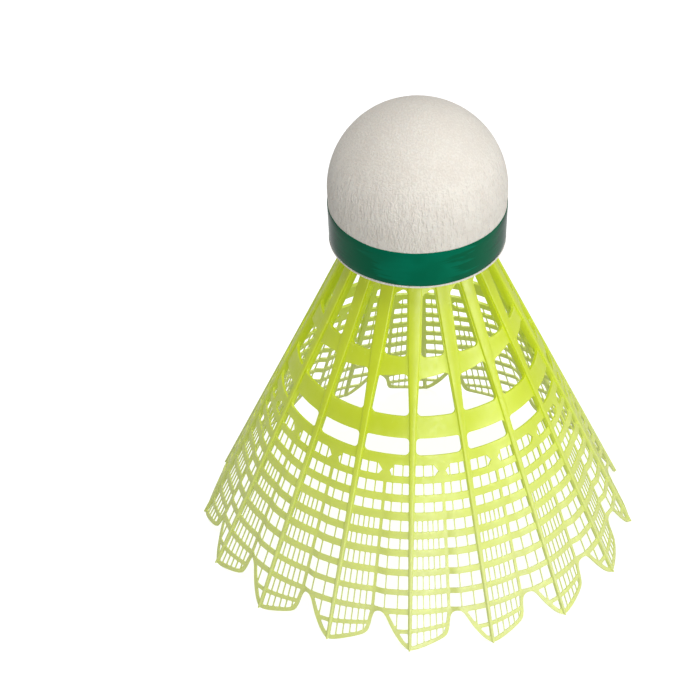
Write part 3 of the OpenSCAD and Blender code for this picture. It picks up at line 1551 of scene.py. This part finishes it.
@dataclass
class Skirt:
    """The moulded skirt: sixteen feathers on quills, with its root."""

    finish: NylonFinish = field(default_factory=NylonFinish)
    lattice_root: float = 9.8
    # Depth of the sheet's outside in from the quills, and its thickness by level
    rise: float = 0.3
    sheet_levels: tuple[tuple[float, float], ...] = (
        (0.0, 0.2),
        (24.0, 0.24),
        (30.0, 0.38),
        (36.0, 0.46),
    )
    filament_drop: float = 0.04
    filament_depth: float = 0.16
    pleat: float = 0.95
    pleat_end: float = 0.66
    pleat_bend: float = 1.5
    quill_depths: tuple[tuple[float, float], ...] = (
        (0.0, 0.55),
        (1.5, 0.64),
        (15.0, 0.8),
        (28.8, 1.05),
        (45.0, 1.4),
        (58.04, 1.5),
    )
    quill_levels: tuple[float, ...] = (
        *(0.0, 0.35, 0.8, 1.4, 4.0, 9.0, 15.0, 22.0, 28.8, 31.0, 33.0, 36.5),
        *(40.0, 46.0, 52.0, 57.0, 59.6),
    )
    quill_tip: float = 1.4
    quill_tip_share: float = 0.62
    quill_rounding: float = 0.2
    corner_steps: int = 3
    # Depths of the collar's outside and inside in from the quills
    collar_depths: tuple[float, float] = (0.53, 1.174)
    sharp_degrees: float = 38.0

    def build(self) -> bpy.types.Object:
        """Build the skirt, with its material.

        Returns:
            The object.
        """
        low, high = node_box(Node.SKIRT)
        hem, _ = node_box(Node.COVER)
        seat, _ = node_box(Node.BASE)
        cone = Cone(rim=float(high[0]), root=self.lattice_root, height=float(hem[2]))
        lattice = Lattice(cone)
        made = self.lattice_sheet(cone, lattice, float(seat[2]))
        quills = self.quills(cone, lattice, float(seat[2]))
        root = self.root(cone, float(seat[2]), float(high[2]))
        fuse(made, [quills, root])
        soften(made, self.sharp_degrees)
        dress(made, self.finish.material())
        LOG.info("skirt: %d faces, lowest point %.2f mm", len(made.data.polygons), low[2])
        return made

    def inset(self, share: float, level: float, lattice: Lattice) -> float:
        """Tell how far the pleat pulls the sheet inward.

        Args:
            share: Place across the sector, 0 to 1.
            level: Distance up the slope.
            lattice: The sector's pattern.

        Returns:
            The inward distance.
        """
        strength = self.pleat * max(0.0, 1.0 - level / lattice.rows[0][1])
        fold = lattice.vein_share(level)
        if share <= fold:
            return strength * (max(0.0, share) / fold) ** self.pleat_bend
        return strength * (1.0 - smooth_step((share - fold) / (self.pleat_end - fold)))

    def lattice_sheet(
        self, cone: Cone, lattice: Lattice, ceiling: float
    ) -> bpy.types.Object:
        """Build the closed sheet with all its openings.

        Args:
            cone: The cone of the quills.
            lattice: The sector's pattern.
            ceiling: Height that nothing passes.

        Returns:
            The sheet.
        """
        flat, marks, triangles = self.flat_sector(lattice)
        left_ids, right_ids = self.seam_ids(flat, lattice)
        partner = dict(zip(right_ids, left_ids))
        kept = [k for k in range(len(flat)) if k not in partner]
        slot_of = {k: n for n, k in enumerate(kept)}
        outer, inner = [], []
        for sector in range(cone.quills):
            for k in kept:
                across, level = flat[k]
                share = across / cone.width(level) + 0.5
                turn = cone.first_turn + (sector + share) * cone.sector
                depth = self.rise + self.inset(share, level, lattice)
                drop = self.filament_drop * marks[k]
                sheet = float(np.interp(level, *zip(*self.sheet_levels)))
                thick = sheet + (self.filament_depth - sheet) * marks[k]
                outer.append(cone.at(turn, level, depth + drop, ceiling))
                inner.append(cone.at(turn, level, depth + drop + thick, ceiling))

        def vertex(sector: int, k: int) -> int:
            """Give the index of a sector's point among all the outer points.

            Args:
                sector: The sector's number.
                k: The point's number in the flat sector.

            Returns:
                The index, shared with the next sector on the seam between the two.
            """
            if k in partner:
                return ((sector + 1) % cone.quills) * len(kept) + slot_of[partner[k]]
            return sector * len(kept) + slot_of[k]

        faces = [
            tuple(vertex(sector, k) for k in triangle)
            for sector in range(cone.quills)
            for triangle in triangles
        ]
        return mesh_object("Skirt", outer + inner, self.closed(faces, len(outer)))

    @staticmethod
    def closed(faces: list[tuple[int, ...]], shift: int) -> list[tuple[int, ...]]:
        """Add the inner faces and the walls to an open sheet.

        Args:
            faces: The outer faces.
            shift: Number of outer points, by which the inner ones come later.

        Returns:
            All the faces.
        """
        edges = {(a, b) for face in faces for a, b in zip(face, face[1:] + face[:1])}
        walls = [(b, a, a + shift, b + shift) for a, b in sorted(edges) if (b, a) not in edges]
        back = [tuple(k + shift for k in reversed(face)) for face in faces]
        return faces + back + walls

    @staticmethod
    def seam_ids(flat: list[Point], lattice: Lattice) -> tuple[list[int], list[int]]:
        """Find the points on the sector's two sides.

        Args:
            flat: The sector's points.
            lattice: Its pattern.

        Returns:
            The points on the left side and those on the right, both from the tip up.
        """
        seam = [k for k, point in enumerate(flat) if lattice.on_seam(point)]
        seam.sort(key=lambda k: flat[k][1])
        left = [k for k in seam if flat[k][0] < 0.0]
        right = [k for k in seam if flat[k][0] > 0.0]
        return left, right

    @staticmethod
    def flat_sector(lattice: Lattice) -> tuple[list[Point], list[float], list[tuple]]:
        """Triangulate one sector in the flat.

        Args:
            lattice: The sector's pattern.

        Returns:
            Its points, their shares of thin filament, and its triangles.
        """
        points: list[Point] = []
        marks: list[float] = []
        edges: list[tuple[int, int]] = []
        loops = [[(p, 0.0) for p in lattice.outline()]] + lattice.openings()
        for loop in loops:
            start = len(points)
            points += [p for p, _ in loop]
            marks += [mark for _, mark in loop]
            edges += [
                (start + k, start + (k + 1) % len(loop)) for k in range(len(loop))
            ]
        border = [(points[a], points[b]) for a, b in edges]
        spare = lattice.spare_points()
        points += spare
        marks += [0.0] * len(spare)
        whole_triangulation = 0
        result = delaunay_2d_cdt(
            [Vector(p) for p in points], edges, [], whole_triangulation, TINY, True
        )
        out_points = [(p.x, p.y) for p in result[0]]
        out_marks = [marks[ids[0]] if ids else 0.0 for ids in result[3]]
        starts = np.array([a for a, _ in border])
        stops = np.array([b for _, b in border])
        kept = []
        for face in result[2]:
            corners = [out_points[k] for k in face]
            if all(lattice.on_seam(corner) for corner in corners):
                continue
            x = sum(c[0] for c in corners) / 3.0
            y = sum(c[1] for c in corners) / 3.0
            spans = (starts[:, 1] > y) != (stops[:, 1] > y)
            a, b = starts[spans], stops[spans]
            crossing = a[:, 0] + (y - a[:, 1]) / (b[:, 1] - a[:, 1]) * (b[:, 0] - a[:, 0])
            if int(np.sum(crossing > x)) % 2 == 1:
                kept.append(tuple(face))
        used = sorted({k for face in kept for k in face})
        again = {k: n for n, k in enumerate(used)}
        return (
            [out_points[k] for k in used],
            [out_marks[k] for k in used],
            [tuple(again[k] for k in face) for face in kept],
        )

    def quill_section(self, width: float, depth: float) -> list[Point]:
        """Give a quill's section, as distance across and depth.

        Args:
            width: Its width.
            depth: Its depth.

        Returns:
            The section's points.
        """
        most_of_half, most_of_depth = 0.8, 0.4
        half = width / 2.0
        r = min(self.quill_rounding, half * most_of_half, depth * most_of_depth)
        section = arc((half - r, r), r, -90.0, 0.0, self.corner_steps)
        section += arc((half - r, depth - r), r, 0.0, 90.0, self.corner_steps)
        section += arc((r - half, depth - r), r, 90.0, 180.0, self.corner_steps)
        section += arc((r - half, r), r, 180.0, 270.0, self.corner_steps)
        return section

    def quills(self, cone: Cone, lattice: Lattice, ceiling: float) -> bpy.types.Object:
        """Build the sixteen quills.

        Args:
            cone: The cone that their outer edges lie on.
            lattice: The pattern between them, which has their widths.
            ceiling: Height at which they end.

        Returns:
            The quills, as one object.
        """
        levels = self.quill_levels
        depths = tuple(zip(*self.quill_depths))
        points, faces = [], []
        for quill in range(cone.quills):
            turn = cone.first_turn + quill * cone.sector
            side = np.array((-math.sin(turn), math.cos(turn), 0.0))
            start = len(points)
            for level in levels:
                taper = self.quill_tip_share + (1.0 - self.quill_tip_share) * smooth_step(
                    level / self.quill_tip
                )
                width = lattice.quill_width(level) * taper
                depth = float(np.interp(level, depths[0], depths[1]))
                for across, inward in self.quill_section(width, depth):
                    spot = np.array(cone.at(turn, level, inward, ceiling))
                    points.append(spot + side * across)
            count = (len(points) - start) // len(levels)
            for ring in range(len(levels) - 1):
                for k in range(count):
                    a = start + ring * count + k
                    b = start + ring * count + (k + 1) % count
                    faces.append((a, b, b + count, a + count))
            faces.append(tuple(start + k for k in reversed(range(count))))
            faces.append(tuple(start + (len(levels) - 1) * count + k for k in range(count)))
        made = mesh_object("Quills", points, faces)
        face_outward(made)
        return made

    def root(self, cone: Cone, seat: float, plug_top: float) -> bpy.types.Object:
        """Build the plug, flange and collar.

        Args:
            cone: The cone of the quills.
            seat: Height of the seat under the cork.
            plug_top: Height of the plug's end.

        Returns:
            The root.
        """
        turned = Root(seat=seat, plug_top=plug_top)
        points, faces = lathe(turned.profile(cone, *self.collar_depths), turned.segments)
        made = mesh_object("Root", points, faces)
        face_outward(made)
        return made


# ---------------------------------------------------------------------------------------
# Head
# ---------------------------------------------------------------------------------------


@dataclass
class CoverSkin:
    """The thin skin over the head, with its hem turned in under the cork."""

    finish: LeatherFinish = field(default_factory=LeatherFinish)
    thickness: float = 0.55
    base_radius: float = 13.1
    hem_radius: float = 10.85
    hem: float = 0.4
    # Rounding of the fold under the side, and how far it stands past the side there
    edge: float = 0.2
    bead: float = 0.17
    hem_steps: int = 5
    lip_steps: int = 4
    edge_steps: int = 8
    edge_end: float = 75.0
    dome_steps: int = 72
    under_steps: int = 24
    side_steps: int = 18
    segments: int = 224
    # Unevenness of the dome, and the height, count, lean and shift of each wave in it
    swell: float = 0.0125
    swell_reach: float = 4.0
    waves: tuple[tuple[float, float, float, float], ...] = (
        (1.0, 3.0, 0.4, 0.0),
        (0.6, 5.0, -0.55, 1.3),
        (0.4, 9.0, 0.8, 0.7),
    )
    # Puckers of the turned-in hem, and how far and how often their spacing drifts
    pucker: float = 0.09
    puckers: int = 44
    pucker_drift: tuple[float, float] = (1.7, 7.0)
    pucker_reach: float = 1.2
    pucker_share: float = 0.6
    sharp_degrees: float = 50.0

    def sizes(self) -> tuple[float, float, float]:
        """Read the head's sizes from the CAD cover.

        Returns:
            The hem's height, the dome's radius and the height of its centre.
        """
        low, high = node_box(Node.COVER)
        radius = float(high[0])
        return float(low[2]), radius, float(high[2]) - radius

    def side_radius(self, height: float) -> float:
        """Give the radius of the head's outside on its side.

        Args:
            height: Height above the feather tips.

        Returns:
            The radius.
        """
        low, radius, centre = self.sizes()
        share = (height - low) / (centre - low)
        return self.base_radius + (radius - self.base_radius) * share

    def profile(self) -> list[Point]:
        """Give the skin's closed half section, from the hem up outside and back inside.

        Returns:
            The section's points.
        """
        low, radius, centre = self.sizes()
        lip = self.hem / 2.0
        points = arc((self.hem_radius + lip, low + lip), lip, 180.0, 270.0, self.lip_steps)
        count = self.hem_steps
        start = self.hem_radius + lip
        stop = self.base_radius + self.bead - self.edge
        points += [(start + (stop - start) * k / count, low) for k in range(1, count)]
        points += arc(
            (stop, low + self.edge), self.edge, -90.0, self.edge_end, self.edge_steps
        )
        foot = low + self.hem
        for step in range(self.side_steps):
            height = foot + (centre - foot) * step / self.side_steps
            points.append((self.side_radius(height), height))
        dome = arc((0.0, centre), radius, 0.0, 90.0, self.dome_steps)
        points += dome[:-1] + [(0.0, centre + radius)]
        inside = radius - self.thickness
        under = arc((0.0, centre), inside, 90.0, 0.0, self.under_steps)
        points += [(0.0, centre + inside)] + under[1:]
        points.append((self.side_radius(low + self.hem) - self.thickness, low + self.hem))
        points.append((start, low + self.hem))
        points.append((self.hem_radius + lip * 0.3, low + self.hem - lip * 0.4))
        return points

    def build(self) -> bpy.types.Object:
        """Build the skin, with its material.

        Returns:
            The object.
        """
        points, faces = lathe(self.profile(), self.segments)
        low, _, centre = self.sizes()
        bent = [self.relax(np.array(p), low, centre) for p in points]
        made = mesh_object("Head_cover_skin", bent, faces)
        face_outward(made)
        soften(made, self.sharp_degrees)
        dress(made, self.finish.material())
        LOG.info("head cover: %d faces", len(made.data.polygons))
        return made

    def relax(self, point: np.ndarray, low: float, centre: float) -> np.ndarray:
        """Give the skin its slight unevenness.

        Args:
            point: A point of the true shape.
            low: Height of the hem's underside.
            centre: Height of the dome's centre.

        Returns:
            The moved point.
        """
        level = math.hypot(point[0], point[1])
        if level < TINY:
            return point
        turn = math.atan2(point[1], point[0])
        heading = np.array((point[0] / level, point[1] / level, 0.0))
        lumps = sum(
            share * math.sin(count * turn + lean * point[2] + shift)
            for share, count, lean, shift in self.waves
        )
        high_up = smooth_step((point[2] - centre) / self.swell_reach)
        moved = point - heading * self.swell * (1.0 + lumps / 2.0) * high_up
        inward = smooth_step((self.base_radius - self.edge - level) / self.pucker_reach)
        if point[2] < low + self.hem * self.pucker_share:
            drift, drifts = self.pucker_drift
            ripple = math.sin(self.puckers * turn + drift * math.sin(drifts * turn))
            moved = moved + np.array((0.0, 0.0, self.pucker * inward * (0.5 + 0.5 * ripple)))
        return moved


@dataclass
class TapeBand:
    """The tape round the head's side, its end lapped over its start."""

    skin: CoverSkin
    finish: TapeFinish = field(default_factory=TapeFinish)
    thickness: float = 0.11
    glue_line: float = 0.002
    rounding_share: float = 0.45
    corner_steps: int = 3
    # Degrees round the axis that the end laps over the start, and that it takes to rise
    lap: float = 26.0
    ramp: float = 4.0
    start: float = 62.0
    lap_rise: float = 1.05
    columns: int = 400
    upright_steps: int = 5
    edge_wave: float = 0.035
    broad_waves: float = 5.0
    fine_waves: float = 13.0
    wave_shift: float = 2.0
    sharp_degrees: float = 50.0

    def build(self) -> bpy.types.Object:
        """Build the band, with its material.

        Returns:
            The object.
        """
        low, high = node_box(Node.BAND)
        points: list[tuple[float, float, float]] = []
        faces: list[tuple[int, ...]] = []
        section = self.section(float(low[2]), float(high[2]))
        count = len(section)
        for column in range(self.columns + 1):
            sweep = (360.0 + self.lap) * column / self.columns
            turn = math.radians(self.start + sweep)
            risen = smooth_step((sweep - 360.0 + self.ramp) / self.ramp)
            lift = self.thickness * self.lap_rise * risen
            for offset, height in section:
                top = (height - low[2]) / (high[2] - low[2])
                wave = self.edge_wave * (
                    math.sin(self.broad_waves * turn + self.wave_shift)
                    + 0.5 * math.sin(self.fine_waves * turn)
                )
                level = height + wave * (top - 0.5) * 2.0 - self.edge_wave * (top - 0.5)
                radius = self.skin.side_radius(level) + offset + lift
                points.append((radius * math.cos(turn), radius * math.sin(turn), level))
        for column in range(self.columns):
            for k in range(count):
                a = column * count + k
                b = column * count + (k + 1) % count
                faces.append((a, b, b + count, a + count))
        faces.append(tuple(reversed(range(count))))
        faces.append(tuple(self.columns * count + k for k in range(count)))
        made = mesh_object("Head_band_tape", points, faces)
        face_outward(made)
        soften(made, self.sharp_degrees)
        dress(made, self.finish.material())
        LOG.info("head band: %d faces", len(made.data.polygons))
        return made

    def section(self, low: float, high: float) -> list[Point]:
        """Give the strip's section, as distance out from the skin and height.

        Args:
            low: Its lower edge.
            high: Its upper edge.

        Returns:
            The section's points.
        """
        r = self.thickness * self.rounding_share
        outside = arc((self.thickness - r, low + r), r, -90.0, 0.0, self.corner_steps)
        for step in range(1, self.upright_steps):
            outside.append((self.thickness, low + (high - low) * step / self.upright_steps))
        outside += arc((self.thickness - r, high - r), r, 0.0, 90.0, self.corner_steps)
        inside = [
            (self.glue_line, high - (high - low) * step / self.upright_steps)
            for step in range(self.upright_steps + 1)
        ]
        return outside + inside


@dataclass
class HeadCore:
    """The cork inside the cover, and the adhesive round the plug."""

    cork: CorkFinish = field(default_factory=CorkFinish)
    glue: GlueFinish = field(default_factory=GlueFinish)

    def dress(self) -> None:
        """Give the CAD nodes of the head's inside their materials."""
        cork, glue = self.cork.material(), self.glue.material()
        for node in (Node.NOSE, Node.BASE, Node.GLUE):
            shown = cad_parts[node.value]
            dress(shown, glue if node is Node.GLUE else cork)
            LOG.info("%s: dressed", node.value)


# ---------------------------------------------------------------------------------------
# Studio
# ---------------------------------------------------------------------------------------


@dataclass(frozen=True)
class Lamp:
    """One soft area light."""

    name: str
    place: tuple[float, float, float]
    size: float
    power: float
    tint: Colour = (1.0, 1.0, 1.0)

    def light(self, target: Vector) -> bpy.types.Object:
        """Hang the light and aim it.

        Args:
            target: What it looks at.

        Returns:
            The light.
        """
        data = bpy.data.lights.new(self.name, "AREA")
        data.shape = "DISK"
        data.size = self.size
        data.energy = self.power
        data.color = self.tint
        lamp = bpy.data.objects.new(self.name, data)
        lamp.location = self.place
        aim = target - Vector(self.place)
        lamp.rotation_euler = aim.to_track_quat("-Z", "Y").to_euler()
        bpy.context.scene.collection.objects.link(lamp)
        return lamp


@dataclass
class Studio:
    """Floor, soft lights, sky and camera."""

    floor_finish: FloorFinish = field(default_factory=FloorFinish)
    floor_half: float = 1.6
    floor_steps: int = 24
    sky: float = 0.25
    backdrop: float = 0.95
    sky_tint: Colour = (1.0, 1.0, 1.0)
    distance: float = 822.6
    height: float = 648.0
    yaw: float = -0.0124
    pitch: float = -0.6418
    roll: float = -0.0071
    circle: float = math.radians(2.07)
    lens: float = 349.4
    sensor: float = 36.0
    clip: tuple[float, float] = (0.05, 10.0)
    aim_height: float = 0.04
    lamps: tuple[Lamp, ...] = (
        Lamp("Key_light", (0.25, -0.82, 0.22), 0.5, 2.1),
        Lamp("Side_light", (0.8, -0.3, 0.27), 0.5, 2.3),
        Lamp("Top_light", (0.05, -0.1, 0.97), 0.7, 5.4),
    )

    def build(self) -> None:
        """Set up the whole studio."""
        self.lay_floor()
        middle = Vector((0.0, 0.0, self.aim_height))
        for lamp in self.lamps:
            lamp.light(middle)
        self.light_sky()
        self.place_camera()
        LOG.info("studio: floor, %d lights and camera", len(self.lamps))

    def lay_floor(self) -> None:
        """Lay the pale floor."""
        steps = self.floor_steps
        span = self.floor_half / MM
        values = [span * (2.0 * k / steps - 1.0) for k in range(steps + 1)]
        points = [(x, y, 0.0) for y in values for x in values]
        row = steps + 1
        faces = [
            (a, a + 1, a + row + 1, a + row)
            for a in (y * row + x for y in range(steps) for x in range(steps))
        ]
        floor = mesh_object("Floor", points, faces)
        dress(floor, self.floor_finish.material())

    def light_sky(self) -> None:
        """Light the scene evenly from all round."""
        world = bpy.data.worlds.new("Studio sky")
        world.use_nodes = True
        graph = Graph(world.node_tree)
        sky = world.node_tree.nodes["Background"]
        seen = graph.add("ShaderNodeLightPath").outputs["Is Camera Ray"]
        strength = graph.span(seen, 0.0, 1.0, self.sky, self.backdrop)
        graph.feed(sky, {"Color": Graph.rgba(self.sky_tint), "Strength": strength})
        bpy.context.scene.world = world

    def place_camera(self) -> None:
        """Stand the camera in front, above and far off."""
        forward = Vector(
            (
                math.sin(self.yaw) * math.cos(self.pitch),
                math.cos(self.yaw) * math.cos(self.pitch),
                math.sin(self.pitch),
            )
        )
        level = Vector((math.cos(self.yaw), -math.sin(self.yaw), 0.0))
        upward = level.cross(forward)
        right = math.cos(self.roll) * level + math.sin(self.roll) * upward
        top = -math.sin(self.roll) * level + math.cos(self.roll) * upward
        pose = Matrix((right, top, -forward)).transposed().to_4x4()
        pose.translation = Vector((0.0, -self.distance, self.height)) * MM
        data = bpy.data.cameras.new("Camera")
        data.lens = self.lens
        data.sensor_width = self.sensor
        data.clip_start, data.clip_end = self.clip
        camera = bpy.data.objects.new("Camera", data)
        camera.matrix_world = Matrix.Rotation(self.circle, 4, "Z") @ pose
        bpy.context.scene.collection.objects.link(camera)
        bpy.context.scene.camera = camera
        bpy.context.scene.view_settings.view_transform = "Standard"


def settle(piece: bpy.types.Object, node: Node) -> None:
    """Tie a piece to the frame.

    Args:
        piece: The piece.
        node: The CAD node that it stands for.
    """
    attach(piece, BODY)
    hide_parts(node.value)


def main() -> None:
    """Build the studio and every piece."""
    logging.basicConfig(level=logging.INFO, format="%(name)s: %(message)s")
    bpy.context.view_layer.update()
    Studio().build()
    settle(Skirt().build(), Node.SKIRT)
    skin = CoverSkin()
    settle(skin.build(), Node.COVER)
    settle(TapeBand(skin).build(), Node.BAND)
    HeadCore().dress()
    bpy.context.view_layer.update()


if __name__ == "__main__":
    main()
